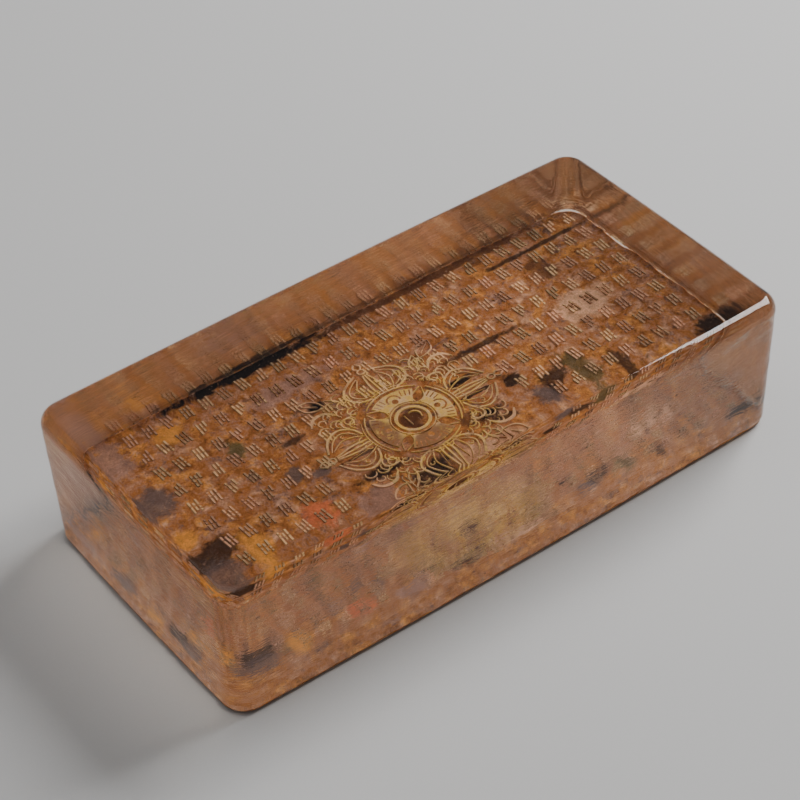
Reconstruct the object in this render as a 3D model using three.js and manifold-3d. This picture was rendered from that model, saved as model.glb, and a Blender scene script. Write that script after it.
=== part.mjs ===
// Engraved glass tile: one thick, clear glass block with softly rounded edges.
// Its underside is engraved with a crossed-vajra medallion and with rows of small stroke marks, which
// run on behind the medallion's far side.
// Units are millimetres, +Z is up, and the origin is the middle of the underside.
import * as THREE from 'three';
import { mergeVertices } from 'three/addons/utils/BufferGeometryUtils.js';
import Module from 'manifold-3d';

const wasm = await Module();
wasm.setup();

// The block
const LENGTH = 200;
const WIDTH = 102;
const HEIGHT = 48;
const END_DRAFT = 1.0; // each end leans in by this much from the top to the foot
const SIDE_DRAFT = 1.6; // and each long side by this much
const TOP_ROUND = 4.5;
const FOOT_ROUND = 2.4;
const CORNER_ROUND = 7.5;
const SIDE_BOW = 0.7; // swell of a long side at its middle
const END_BOW = 0.4;
const TOP_ROUND_STEPS = 5;
const FOOT_ROUND_STEPS = 3;
const CORNER_STEPS = 6;
const LONG_SIDE_STEPS = 6;
const SHORT_SIDE_STEPS = 4;

// The engraving
const CUT_DEPTH = 0.7;
const CUTTER_FOOT = -1; // the cutters start this far below the underside

// The field of stroke marks
const COLUMN_PITCH = 6.62;
const ROW_PITCH = 8.7;
const FIRST_COLUMN = -11;
const LAST_COLUMN = 14;
const FIRST_ROW = -2; // the near margin is plain
const LAST_ROW = 5;
const FIELD_X = 0.5; // middle of column 0
const FIELD_Y = 0.5; // middle of row 0
const MARK_WIDTH = 3.2;
const MARK_HEIGHT = 5.2;
const STROKE_WIDTH = 0.9;
const STROKE_LEAN = 0.35; // how far a stroke leans from upright over the height of a mark
const CLEARING_Y = -14; // no mark stands in an oval clearing with this middle
const CLEARING_REACH_X = 36;
const CLEARING_REACH_Y = 28;

// The medallion
const MEDALLION_X = -1.8;
const MEDALLION_Y = -0.4;
const BOSS_RADIUS = 6;
const BOSS_LINE = 1.1;
const WHEEL_RADIUS = 13.6;
const WHEEL_LINE = 1.2;
const WHEEL_ARC = THREE.MathUtils.degToRad(62);
const ARM_LENGTH = 33; // along X, from the middle to the tip
const CROSS_ARM_SCALE = 0.9; // the arms along Y are this much shorter
const PRONG_LINE = 1.25;
const SCROLL_X = 15.8;
const SCROLL_Y = 11.6;
const SCROLL_RADIUS = 2.8;
const SCROLL_LINE = 1.0;
const CRESCENT_LINE = 1.5;

// Closed outline of a rounded rectangle whose sides swell a little, anticlockwise seen from above.
function blockOutline(halfLength, halfWidth, radius, endBow, sideBow) {
  const points = [];
  const corner = (x, y, start) => {
    for (let i = 0; i <= CORNER_STEPS; i += 1) {
      const angle = start + (Math.PI / 2) * (i / CORNER_STEPS);
      points.push([x + radius * Math.cos(angle), y + radius * Math.sin(angle)]);
    }
  };
  const side = (from, to, steps, bow) => {
    for (let i = 1; i < steps; i += 1) {
      const t = i / steps;
      const swell = bow * 4 * t * (1 - t);
      const x = from[0] + (to[0] - from[0]) * t;
      const y = from[1] + (to[1] - from[1]) * t;
      const outX = Math.sign(to[1] - from[1]) * swell;
      const outY = Math.sign(from[0] - to[0]) * swell;
      points.push([x + outX, y + outY]);
    }
  };
  const x = halfLength - radius;
  const y = halfWidth - radius;
  corner(x, y, 0);
  side([x, halfWidth], [-x, halfWidth], LONG_SIDE_STEPS, sideBow);
  corner(-x, y, Math.PI / 2);
  side([-halfLength, y], [-halfLength, -y], SHORT_SIDE_STEPS, endBow);
  corner(-x, -y, Math.PI);
  side([-x, -halfWidth], [x, -halfWidth], LONG_SIDE_STEPS, sideBow);
  corner(x, -y, -Math.PI / 2);
  side([halfLength, -y], [halfLength, y], SHORT_SIDE_STEPS, endBow);
  return points;
}

// Heights of the block's rings, from the foot up, with how far each is drawn in by the edge rounding.
function ringLevels() {
  const levels = [];
  for (let i = 0; i <= FOOT_ROUND_STEPS; i += 1) {
    const angle = (Math.PI / 2) * (i / FOOT_ROUND_STEPS);
    levels.push({ z: FOOT_ROUND * (1 - Math.cos(angle)), inset: FOOT_ROUND * (1 - Math.sin(angle)) });
  }
  for (let i = 0; i <= TOP_ROUND_STEPS; i += 1) {
    const angle = (Math.PI / 2) * (i / TOP_ROUND_STEPS);
    levels.push({ z: HEIGHT - TOP_ROUND * (1 - Math.sin(angle)), inset: TOP_ROUND * (1 - Math.cos(angle)) });
  }
  return levels;
}

// Block: rings stacked from the foot to the top, closed with a flat face at each end.
function blockGeometry() {
  const rings = ringLevels().map(({ z, inset }) => {
    const below = 1 - z / HEIGHT;
    const halfLength = LENGTH / 2 - END_BOW - END_DRAFT * below - inset;
    const halfWidth = WIDTH / 2 - SIDE_BOW - SIDE_DRAFT * below - inset;
    const outline = blockOutline(halfLength, halfWidth, CORNER_ROUND - inset, END_BOW, SIDE_BOW);
    return outline.map(([x, y]) => [x, y, z]);
  });
  const count = rings[0].length;
  const indices = [];
  for (let r = 0; r + 1 < rings.length; r += 1) {
    for (let i = 0; i < count; i += 1) {
      const next = (i + 1) % count;
      const a = r * count + i;
      const b = r * count + next;
      indices.push(a, b, b + count, a, b + count, a + count);
    }
  }
  const top = (rings.length - 1) * count;
  const flat = rings[0].map(([x, y]) => new THREE.Vector2(x, y));
  for (const [a, b, c] of THREE.ShapeUtils.triangulateShape(flat, [])) {
    indices.push(a, c, b);
    indices.push(top + a, top + b, top + c);
  }
  const geometry = new THREE.BufferGeometry();
  geometry.setAttribute('position', new THREE.Float32BufferAttribute(rings.flat(2), 3));
  geometry.setIndex(indices);
  return geometry;
}

// Closed mesh to solid
function solid(geometry) {
  const bare = geometry.clone();
  bare.deleteAttribute('normal');
  bare.deleteAttribute('uv');
  const merged = mergeVertices(bare);
  const mesh = new wasm.Mesh({
    numProp: 3,
    vertProperties: new Float32Array(merged.attributes.position.array),
    triVerts: new Uint32Array(merged.index.array),
  });
  return new wasm.Manifold(mesh);
}

// Cutter for a groove of this outline, with an optional island left standing inside it.
function groove(outline, island) {
  const shape = new THREE.Shape(outline.map(([x, y]) => new THREE.Vector2(x, y)));
  if (island) {
    shape.holes.push(new THREE.Path(island.map(([x, y]) => new THREE.Vector2(x, y))));
  }
  const geometry = new THREE.ExtrudeGeometry(shape, { depth: CUT_DEPTH - CUTTER_FOOT, bevelEnabled: false });
  geometry.translate(0, 0, CUTTER_FOOT);
  return solid(geometry);
}

function circle(radius, steps) {
  const points = [];
  for (let i = 0; i < steps; i += 1) {
    const angle = (2 * Math.PI * i) / steps;
    points.push([radius * Math.cos(angle), radius * Math.sin(angle)]);
  }
  return points;
}

// Outline of a line of the given widths drawn along a path of points.
function ribbon(path, widthAt) {
  const left = [];
  const right = [];
  path.forEach(([x, y], i) => {
    const [ax, ay] = path[Math.max(i - 1, 0)];
    const [bx, by] = path[Math.min(i + 1, path.length - 1)];
    const run = Math.hypot(bx - ax, by - ay);
    const half = widthAt(i / (path.length - 1)) / 2;
    const nx = (-(by - ay) / run) * half;
    const ny = ((bx - ax) / run) * half;
    left.push([x + nx, y + ny]);
    right.push([x - nx, y - ny]);
  });
  return left.concat(right.reverse());
}

function arcPath(radius, from, to, steps) {
  const points = [];
  for (let i = 0; i <= steps; i += 1) {
    const angle = from + (to - from) * (i / steps);
    points.push([radius * Math.cos(angle), radius * Math.sin(angle)]);
  }
  return points;
}

// Smooth path through a few guide points
function curvePath(guides, steps) {
  const curve = new THREE.CatmullRomCurve3(guides.map(([x, y]) => new THREE.Vector3(x, y, 0)));
  return curve.getPoints(steps).map((p) => [p.x, p.y]);
}

const mirrored = (outline) => outline.map(([x, y]) => [x, -y]);

// One arm of the crossed vajra, pointing along +X: spear, two curved prongs, and petals at its root.
function armOutlines() {
  const spear = [
    [15.2, 1.0],
    [23, 1.5],
    [27.6, 0.7],
    [30, 1.7],
    [ARM_LENGTH, 0],
    [30, -1.7],
    [27.6, -0.7],
    [23, -1.5],
    [15.2, -1.0],
  ];
  const prongPath = curvePath([[15.6, 4.2], [17.2, 8.4], [21.2, 10.6], [25.6, 8.4], [28.6, 3.4]], 8);
  const prong = ribbon(prongPath, (t) => PRONG_LINE * (1 - 0.45 * t));
  const petal = [
    [15.2, 2.2],
    [17.8, 2.4],
    [20.6, 4.4],
    [17.6, 4.0],
  ];
  return [spear, prong, mirrored(prong), petal, mirrored(petal)];
}

// Scroll, crescent and leaf that fill the corner between two arms, drawn for the corner between +X and +Y.
function cornerOutlines() {
  const spiral = [];
  const steps = 12;
  for (let i = 0; i <= steps; i += 1) {
    const t = i / steps;
    const angle = THREE.MathUtils.degToRad(-60 + 400 * t);
    const radius = SCROLL_RADIUS * (1 - 0.7 * t);
    spiral.push([SCROLL_X + radius * Math.cos(angle), SCROLL_Y + radius * Math.sin(angle)]);
  }
  const crescentPath = curvePath([[16.8, 16.8], [19.6, 20.0], [23.6, 19.8], [26.0, 16.6]], 6);
  const crescent = ribbon(crescentPath, (t) => CRESCENT_LINE * (1 - Math.abs(2 * t - 1) ** 2 * 0.6));
  const leaf = [
    [17.8, 23.0],
    [21.4, 23.8],
    [23.6, 28.0],
    [19.4, 27.0],
  ];
  return [ribbon(spiral, () => SCROLL_LINE), crescent, leaf];
}

// Wheel at the middle: a round boss line, and in each quarter a rim arc and a heart-shaped petal.
function wheelQuarterOutlines() {
  const rim = ribbon(arcPath(WHEEL_RADIUS, -WHEEL_ARC / 2, WHEEL_ARC / 2, 6), () => WHEEL_LINE);
  const heart = [
    [7.8, 0],
    [9.0, 2.6],
    [11.4, 3.4],
    [11.9, 1.2],
    [10.6, 0],
    [11.9, -1.2],
    [11.4, -3.4],
    [9.0, -2.6],
  ];
  return [rim, heart];
}

function placed(outline, { turn = 0, scaleX = 1, scaleY = 1, x = 0, y = 0 }) {
  const cos = Math.cos(turn);
  const sin = Math.sin(turn);
  return outline.map(([px, py]) => [
    x + scaleX * (px * cos - py * sin),
    y + scaleY * (px * sin + py * cos),
  ]);
}

function medallionCutters() {
  const centre = { x: MEDALLION_X, y: MEDALLION_Y };
  const cutters = [];
  for (let quarter = 0; quarter < 4; quarter += 1) {
    const turn = (Math.PI / 2) * quarter;
    for (const outline of wheelQuarterOutlines()) {
      cutters.push(groove(placed(outline, { ...centre, turn })));
    }
    for (const outline of armOutlines()) {
      cutters.push(groove(placed(outline, { ...centre, turn, scaleY: CROSS_ARM_SCALE })));
    }
  }
  for (const scaleX of [1, -1]) {
    for (const scaleY of [CROSS_ARM_SCALE, -CROSS_ARM_SCALE]) {
      for (const outline of cornerOutlines()) {
        cutters.push(groove(placed(outline, { ...centre, scaleX, scaleY })));
      }
    }
  }
  const bossOuter = placed(circle(BOSS_RADIUS + BOSS_LINE / 2, 24), centre);
  const bossInner = placed(circle(BOSS_RADIUS - BOSS_LINE / 2, 24), centre);
  cutters.push(groove(bossOuter, bossInner));
  return cutters;
}

// One straight stroke from height low to high of its mark, as a bar that leans a little.
function stroke(x, low, high, lean) {
  const w = STROKE_WIDTH / 2;
  const below = x + (lean * low) / MARK_HEIGHT;
  const above = x + (lean * high) / MARK_HEIGHT;
  return [[below - w, low], [below + w, low], [above + w, high], [above - w, high]];
}

// A stroke mark: a long stroke and a short one beside it, leaning alike and never touching.
// Side, lean and the place of the short one change from mark to mark. None is a letter.
function markOutlines(column, row) {
  const pick = Math.abs(3 * column + 5 * row) % 4;
  const side = pick % 2 === 0 ? 1 : -1;
  const lean = pick < 2 ? STROKE_LEAN : -STROKE_LEAN;
  const offset = (side * (MARK_WIDTH - STROKE_WIDTH)) / 2;
  const top = MARK_HEIGHT / 2;
  const short = (column + row) % 2 === 0 ? [0, top] : [-top, 0];
  return [stroke(-offset, -top, top, lean), stroke(offset, ...short, lean)];
}

function markCutters() {
  const cutters = [];
  for (let column = FIRST_COLUMN; column <= LAST_COLUMN; column += 1) {
    for (let row = FIRST_ROW; row <= LAST_ROW; row += 1) {
      const x = FIELD_X + COLUMN_PITCH * column;
      const y = FIELD_Y + ROW_PITCH * row;
      const ovalX = (x - MEDALLION_X) / CLEARING_REACH_X;
      const ovalY = (y - CLEARING_Y) / CLEARING_REACH_Y;
      if (Math.hypot(ovalX, ovalY) > 1) {
        for (const outline of markOutlines(column, row)) {
          cutters.push(groove(placed(outline, { x, y })));
        }
      }
    }
  }
  return cutters;
}

function tileGeometry() {
  const cutters = [...medallionCutters(), ...markCutters()];
  const engraving = cutters.reduce((whole, cutter) => whole.add(cutter));
  const mesh = solid(blockGeometry()).subtract(engraving).getMesh();
  const geometry = new THREE.BufferGeometry();
  geometry.setAttribute('position', new THREE.Float32BufferAttribute(mesh.vertProperties, 3));
  geometry.setIndex(Array.from(mesh.triVerts));
  geometry.computeVertexNormals();
  return geometry;
}

const amberGlass = new THREE.MeshStandardMaterial({
  color: 0xb8794a,
  roughness: 0.06,
  metalness: 0,
  transparent: true,
  opacity: 0.6,
});

const tile = new THREE.Mesh(tileGeometry(), amberGlass);
tile.name = 'glass_tile';

const part = new THREE.Group();
part.add(tile);

export default part;
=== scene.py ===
import functools
import math
import random

import bpy
from mathutils import Matrix, Vector, noise
from mathutils.geometry import delaunay_2d_cdt


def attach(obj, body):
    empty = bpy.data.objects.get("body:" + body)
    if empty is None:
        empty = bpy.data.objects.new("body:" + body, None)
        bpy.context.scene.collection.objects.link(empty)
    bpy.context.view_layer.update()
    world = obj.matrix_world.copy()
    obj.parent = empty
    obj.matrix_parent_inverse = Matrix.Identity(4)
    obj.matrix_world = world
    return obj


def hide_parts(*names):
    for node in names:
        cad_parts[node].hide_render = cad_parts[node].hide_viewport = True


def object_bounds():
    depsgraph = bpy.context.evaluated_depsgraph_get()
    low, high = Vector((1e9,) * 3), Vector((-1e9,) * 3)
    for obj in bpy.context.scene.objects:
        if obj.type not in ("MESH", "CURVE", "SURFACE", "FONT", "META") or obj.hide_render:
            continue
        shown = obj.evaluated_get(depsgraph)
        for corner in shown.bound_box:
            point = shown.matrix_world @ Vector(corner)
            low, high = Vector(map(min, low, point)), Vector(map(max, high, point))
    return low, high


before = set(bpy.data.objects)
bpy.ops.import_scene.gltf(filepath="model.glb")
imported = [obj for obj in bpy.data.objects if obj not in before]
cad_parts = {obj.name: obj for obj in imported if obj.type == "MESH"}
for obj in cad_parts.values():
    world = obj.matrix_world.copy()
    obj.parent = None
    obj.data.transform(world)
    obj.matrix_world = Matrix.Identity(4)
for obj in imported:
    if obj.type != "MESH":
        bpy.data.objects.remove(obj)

bl_info = {
    "name": "Engraved glass tile",
    "version": (1, 0, 0),
    "blender": (4, 5, 0),
    "location": "3D View > Sidebar > Glass Tile",
    "description": "Builds a gilt, engraved and burial-stained glass tile round its solid",
    "category": "Add Mesh",
}

MM = 0.001
NODE = "glass_tile"
BODY = "root"
CAD_LOW, CAD_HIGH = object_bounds()
TILE_LENGTH = (CAD_HIGH.x - CAD_LOW.x) / MM
TILE_WIDTH = (CAD_HIGH.y - CAD_LOW.y) / MM
TILE_HEIGHT = (CAD_HIGH.z - CAD_LOW.z) / MM


# Settings

def length(name, text, default_mm):
    """A size that the user can change. The default is in millimetres, and the value in metres."""
    return bpy.props.FloatProperty(
        name=name, description=text, default=default_mm * MM, min=0.0, precision=5, unit="LENGTH"
    )


def colour(name, text, default):
    return bpy.props.FloatVectorProperty(
        name=name, description=text, default=default, size=3, min=0.0, max=1.0, subtype="COLOR"
    )


def factor(name, text, default, high=1.0):
    return bpy.props.FloatProperty(name=name, description=text, default=default, min=0.0, max=high, subtype="FACTOR")


class BlockSizes(bpy.types.PropertyGroup):
    """Form of the glass block. Its overall size comes from the solid."""

    corner_round: length("Corner radius", "Radius of the upright corners", 7.5)
    top_round: length("Top rounding", "Radius of the rounding round the top face", 4.5)
    foot_round: length("Foot rounding", "Radius of the rounding round the underside", 2.4)
    side_draft: length("Side draft", "How far each long side leans in from the top to the foot", 1.6)
    end_draft: length("End draft", "How far each end leans in from the top to the foot", 1.0)
    side_bow: length("Side swell", "How far a long side swells at its middle", 0.7)
    end_bow: length("End swell", "How far an end swells at its middle", 0.4)
    polish_wave: length("Polish waves", "Height of the soft waves that polishing left on the top", 0.05)
    wall_wave: length("Wall waves", "Height of the waves that grinding left on the walls", 0.16)


class EngravingSizes(bpy.types.PropertyGroup):
    """Engraved marks and medallion of the underside"""

    cut_depth: length("Cut depth", "Depth of the engraved lines", 0.6)
    wall_run: length("Wall slope", "How far a line's side wall runs in from its edge", 0.1)
    column_pitch: length("Column pitch", "Distance from one column of marks to the next", 6.62)
    row_pitch: length("Row pitch", "Distance from one row of marks to the next", 8.7)
    mark_width: length("Mark width", "Width of one stroke mark", 3.2)
    mark_height: length("Mark height", "Height of one stroke mark", 5.2)
    stroke_width: length("Stroke width", "Width of one stroke of a mark", 0.78)
    line_width: length("Line width", "Width of a fine line of the medallion", 0.52)


class CrustLook(bpy.types.PropertyGroup):
    """Burial crust on the underside"""

    thickness: length("Thickness", "Thickness of the crust", 0.25)
    ground: colour("Ground", "Pinkish brown ground", (0.50, 0.26, 0.155))
    rust: colour("Rust", "Orange-brown stain", (0.47, 0.19, 0.055))
    ochre: colour("Ochre", "Orange-yellow stain", (0.86, 0.41, 0.09))
    red: colour("Red earth", "Red-orange stain", (0.78, 0.23, 0.10))
    earth: colour("Earth", "Dark brown earth", (0.145, 0.060, 0.026))
    # The soot colour also paints two thin shadow bands in the medallion
    soot_and_shade: colour("Soot", "Black stain", (0.016, 0.010, 0.009))
    slate: colour("Slate", "Blue-grey stain", (0.165, 0.125, 0.130))
    moss: colour("Moss", "Olive green stain", (0.12, 0.11, 0.05))
    ash: colour("Ash", "Grey-purple bloom", (0.44, 0.28, 0.245))
    chalk: colour("Chalk", "Pale pinkish lime", (0.90, 0.60, 0.43))


class GiltLook(bpy.types.PropertyGroup):
    """Gold leaf left in the engraved lines"""

    leaf: colour("Leaf", "Clean gold leaf", (0.95, 0.70, 0.20))
    pale_leaf: colour("Pale leaf", "Rubbed, pale leaf", (0.95, 0.72, 0.44))
    pink_leaf: colour("Pink leaf", "Leaf clouded with pinkish lime", (0.88, 0.56, 0.40))
    bare: colour("Bare", "Line where the leaf is gone", (0.34, 0.17, 0.09))
    wear: factor("Wear", "Share of the leaf that has gone", 0.24)


class GlassLook(bpy.types.PropertyGroup):
    """Clear, faintly amber glass"""

    tint: colour("Tint", "Colour that the glass lets through", (0.96, 0.74, 0.50))
    density: bpy.props.FloatProperty(
        name="Density", description="Strength of the tint for each metre of glass", default=8.0, min=0.0
    )
    roughness: factor("Roughness", "Roughness of the polish", 0.02)
    ripple: length("Wall ripple", "Depth of the fine ripples on the walls", 0.16)


class StageLook(bpy.types.PropertyGroup):
    """Floor and light"""

    floor: colour("Floor", "Pale studio floor", (0.62, 0.61, 0.60))
    world: factor("Room light", "Strength of the light from all round", 0.16, high=5.0)
    key: bpy.props.FloatProperty(name="Key light", description="Power of the main lamp in watts", default=21.0, min=0.0)
    fill: bpy.props.FloatProperty(name="Fill light", description="Power of the fill lamp in watts", default=3.0, min=0.0)


# Mesh helpers. Outlines and heights are in millimetres until the mesh is made.

def make_object(name, verts, faces, smooth_angle):
    mesh = bpy.data.meshes.new(name)
    mesh.from_pydata([(x * MM, y * MM, z * MM) for x, y, z in verts], [], faces)
    mesh.validate()
    mesh.shade_smooth()
    mesh.set_sharp_from_angle(angle=math.radians(smooth_angle))
    obj = bpy.data.objects.new(name, mesh)
    bpy.context.scene.collection.objects.link(obj)
    return obj


def in_mm(group):
    """The group's lengths as plain numbers in millimetres, in a form that can be a cache key."""
    names = [p.identifier for p in group.bl_rna.properties if p.type == "FLOAT" and p.unit == "LENGTH"]
    return tuple((n, round(getattr(group, n) / MM, 6)) for n in names)


# The block's form: rings of points, each one a rounded rectangle whose sides swell a little

CORNER_STEPS = 16
LONG_SIDE_STEPS = 140
SHORT_SIDE_STEPS = 66
FOOT_STEPS = 5
TOP_STEPS = 8
WALL_STEPS = 36
GLASS_INSET = 0.12  # the glass starts this far inside the crust's outer face


def outline(half_length, half_width, radius, end_bow, side_bow):
    """Closed outline of one ring, anticlockwise seen from above."""
    points = []
    x, y = half_length - radius, half_width - radius

    def corner(cx, cy, start):
        for i in range(CORNER_STEPS + 1):
            angle = start + math.pi / 2 * i / CORNER_STEPS
            points.append((cx + radius * math.cos(angle), cy + radius * math.sin(angle)))

    def side(a, b, steps, bow):
        out_x = (b[1] > a[1]) - (b[1] < a[1])
        out_y = (a[0] > b[0]) - (a[0] < b[0])
        for i in range(1, steps):
            t = i / steps
            swell = bow * 4 * t * (1 - t)
            points.append((a[0] + (b[0] - a[0]) * t + out_x * swell, a[1] + (b[1] - a[1]) * t + out_y * swell))

    corner(x, y, 0)
    side((x, half_width), (-x, half_width), LONG_SIDE_STEPS, side_bow)
    corner(-x, y, math.pi / 2)
    side((-half_length, y), (-half_length, -y), SHORT_SIDE_STEPS, end_bow)
    corner(-x, -y, math.pi)
    side((-x, -half_width), (x, -half_width), LONG_SIDE_STEPS, side_bow)
    corner(x, -y, -math.pi / 2)
    side((half_length, -y), (half_length, y), SHORT_SIDE_STEPS, end_bow)
    return points


def ring(size, z, inset):
    """The block's outline at height z, drawn in by inset."""
    below = max(0.0, 1 - z / TILE_HEIGHT)
    half_length = TILE_LENGTH / 2 - size["end_bow"] - size["end_draft"] * below - inset
    half_width = TILE_WIDTH / 2 - size["side_bow"] - size["side_draft"] * below - inset
    return outline(half_length, half_width, size["corner_round"] - inset, size["end_bow"], size["side_bow"])


def crust_end_angle(x, y):
    """How far the crust climbs round the foot. Its edge is ragged, and it is rubbed lower at the right end."""
    rough = noise.fractal(Vector((x, y, 0)) * 0.09, 0.8, 2.0, 3)
    fine = noise.noise(Vector((x, y, 5)) * 0.5)
    rubbed = 24 * min(max((x - 0.4 * TILE_LENGTH) / (0.08 * TILE_LENGTH), 0), 1)
    return math.radians(min(max(74 - rubbed + 16 * rough + 10 * fine, 34), 88))


@functools.cache
def foot_rings(sizes, depth):
    """Rings of the foot rounding from the underside up to the crust's ragged edge, without the first."""
    size = dict(sizes)
    base = ring(size, 0, size["foot_round"])
    ends = [crust_end_angle(x, y) for x, y in base]
    rings = []
    for step in range(1, FOOT_STEPS + 1):
        angles = [end * step / FOOT_STEPS for end in ends]
        cache = {}
        points = []
        for index, angle in enumerate(angles):
            key = round(angle, 3)
            if key not in cache:
                inset = size["foot_round"] * (1 - math.sin(key)) + depth * math.sin(key)
                z = size["foot_round"] * (1 - math.cos(key)) + depth * math.cos(key)
                cache[key] = (ring(size, z, inset), z)
            points.append((*cache[key][0][index], cache[key][1]))
        rings.append(points)
    return rings


def join_rings(faces, lower, upper):
    """Faces between two rings of vertex numbers, facing outwards."""
    count = len(lower)
    for i in range(count):
        j = (i + 1) % count
        faces.append((lower[i], lower[j], upper[j], upper[i]))


# The engraving, drawn flat as paths with widths

def polyline_quads(path, widths, closed=False):
    """One four-sided piece for each step of a path, so that pieces next to each other share an edge."""
    count = len(path)
    left, right = [], []
    for i, (x, y) in enumerate(path):
        before = path[(i - 1) % count] if closed else path[max(i - 1, 0)]
        after = path[(i + 1) % count] if closed else path[min(i + 1, count - 1)]
        dx, dy = after[0] - before[0], after[1] - before[1]
        run = math.hypot(dx, dy) or 1.0
        half = widths[i] / 2
        left.append((x - dy / run * half, y + dx / run * half))
        right.append((x + dy / run * half, y - dx / run * half))
    last = count if closed else count - 1
    return [[right[i], right[(i + 1) % count], left[(i + 1) % count], left[i]] for i in range(last)]


class Drawing:
    """The flat shapes of the engraving: outer edges of the cuts, their floors, and lines left dark."""

    def __init__(self, wall):
        self.wall = wall
        self.outer, self.inner, self.dark = [], [], []

    def line(self, path, width, closed=False, taper=0.0):
        """A cut along a path. With a taper, it thins towards both ends."""
        count = len(path)
        shape = [1.0 if closed else 1 - taper * abs(2 * i / (count - 1) - 1) ** 2 for i in range(count)]
        self.outer += polyline_quads(path, [width * s for s in shape], closed)
        floor = [max(width * s - 2 * self.wall, width * s * 0.35) for s in shape]
        short = path if closed else self.shortened(path)
        self.inner += polyline_quads(short, floor, closed)

    def shortened(self, path):
        """The same path, drawn in a little at both ends, where the cut's end walls slope."""
        ends = []
        for a, b in ((path[0], path[1]), (path[-1], path[-2])):
            run = math.hypot(b[0] - a[0], b[1] - a[1]) or 1.0
            pull = min(self.wall, run * 0.4)
            ends.append((a[0] + (b[0] - a[0]) * pull / run, a[1] + (b[1] - a[1]) * pull / run))
        return [ends[0], *path[1:-1], ends[1]]

    def field(self, polygon):
        """A wide cut. The polygon is convex."""
        self.outer.append(polygon)
        cx = sum(p[0] for p in polygon) / len(polygon)
        cy = sum(p[1] for p in polygon) / len(polygon)
        reach = max(math.hypot(p[0] - cx, p[1] - cy) for p in polygon)
        keep = max(1 - self.wall / reach * 1.5, 0.5)
        self.inner.append([(cx + (x - cx) * keep, cy + (y - cy) * keep) for x, y in polygon])

    def shade(self, path, width, closed=False):
        """A line without gold."""
        self.dark += polyline_quads(path, [width] * len(path), closed)

    def placed(self, other, place):
        """Copies another drawing's shapes to a place."""
        for mine, theirs in ((self.outer, other.outer), (self.inner, other.inner), (self.dark, other.dark)):
            mine += [[place(p) for p in polygon] for polygon in theirs]


def arc(cx, cy, radius, start, end, steps, radius_end=None):
    """Points of an arc in degrees. With an end radius it is a spiral."""
    radius_end = radius if radius_end is None else radius_end
    points = []
    for i in range(steps + 1):
        t = i / steps
        angle = math.radians(start + (end - start) * t)
        r = radius + (radius_end - radius) * t
        points.append((cx + r * math.cos(angle), cy + r * math.sin(angle)))
    return points


def smooth_path(guides, steps):
    """Smooth curve through a few guide points."""
    count = len(guides) - 1
    points = []
    for i in range(steps + 1):
        u = min(i / steps * count, count - 1e-9)
        k = int(u)
        t = u - k
        p = [guides[min(max(k + d, 0), count)] for d in (-1, 0, 1, 2)]
        points.append(tuple(
            0.5 * (2 * p[1][a] + (p[2][a] - p[0][a]) * t
                   + (2 * p[0][a] - 5 * p[1][a] + 4 * p[2][a] - p[3][a]) * t * t
                   + (3 * p[1][a] - p[0][a] - 3 * p[2][a] + p[3][a]) * t ** 3)
            for a in (0, 1)
        ))
    return points


MEDALLION_X, MEDALLION_Y = -1.8, -0.4
BOSS_RADIUS = 6.0
WHEEL_RADIUS = 13.6
ARM_TIP = 33.0
CROSS_ARM_SCALE = 0.9
SCROLL_X, SCROLL_Y, SCROLL_RADIUS = 15.8, 11.6, 2.8


def draw_boss(drawing, w):
    """Round boss at the middle: a dark seed in a gold ring."""
    drawing.line(arc(0, 0, BOSS_RADIUS - 0.95, 0, 352.5, 47), 1.15, closed=True)
    drawing.line([(-1.5, -2.2), (-1.5, 2.4)], w, taper=0.3)
    drawing.line(arc(0.9, 0.6, 2.2, -40, 110, 10), w * 1.4, taper=0.5)
    drawing.line(arc(0, 0, BOSS_RADIUS + 0.75, 0, 352.5, 47), 0.5, closed=True)


def draw_wheel_quarter(drawing, w):
    """One quarter of the wheel: gold ground with a dark drop, an arch over it and short rays."""
    inner, outer = 7.2, WHEEL_RADIUS - 0.6
    drawing.line(arc(0, 0, (inner + outer) / 2, -36, 36, 14), outer - inner)
    drawing.shade(arc(8.9, 0, 0.55, 0, 330, 11), 0.95, closed=True)
    drawing.shade(arc(9.6, 0, 2.1, -105, 105, 12), 0.6)
    for angle in (-31, -24, -17, 17, 24, 31):
        c, s = math.cos(math.radians(angle)), math.sin(math.radians(angle))
        drawing.shade([(10.2 * c, 10.2 * s), (12.5 * c, 12.5 * s)], 0.42)
    drawing.line(arc(0, 0, WHEEL_RADIUS + 0.75, -39, 39, 16), w * 1.35, taper=0.4)
    drawing.line(arc(0, 0, WHEEL_RADIUS + 1.85, -30, 30, 12), w * 0.9, taper=0.5)


def draw_diagonal_petal(drawing, w):
    """Leaf between two quarters of the wheel, and the lace of petals outside it, drawn along +X."""
    leaf = smooth_path([(6.9, 0), (9.6, 2.0), (14.0, 0.3)], 10)
    for sign in (1, -1):
        drawing.line([(x, y * sign) for x, y in leaf], w, taper=0.3)
    for radius, spread, count in ((17.0, 14, 3), (21.2, 13, 3), (25.0, 10, 2)):
        for k in range(count):
            middle = math.radians((k - (count - 1) / 2) * spread)
            cx, cy = radius * math.cos(middle), radius * math.sin(middle)
            turn = math.degrees(middle)
            drawing.line(arc(cx, cy, 1.75, turn - 95, turn + 95, 9), w, taper=0.3)
            drawing.line(arc(cx - 0.2, cy, 0.7, turn - 100, turn + 100, 6), w * 0.8, taper=0.4)


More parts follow.
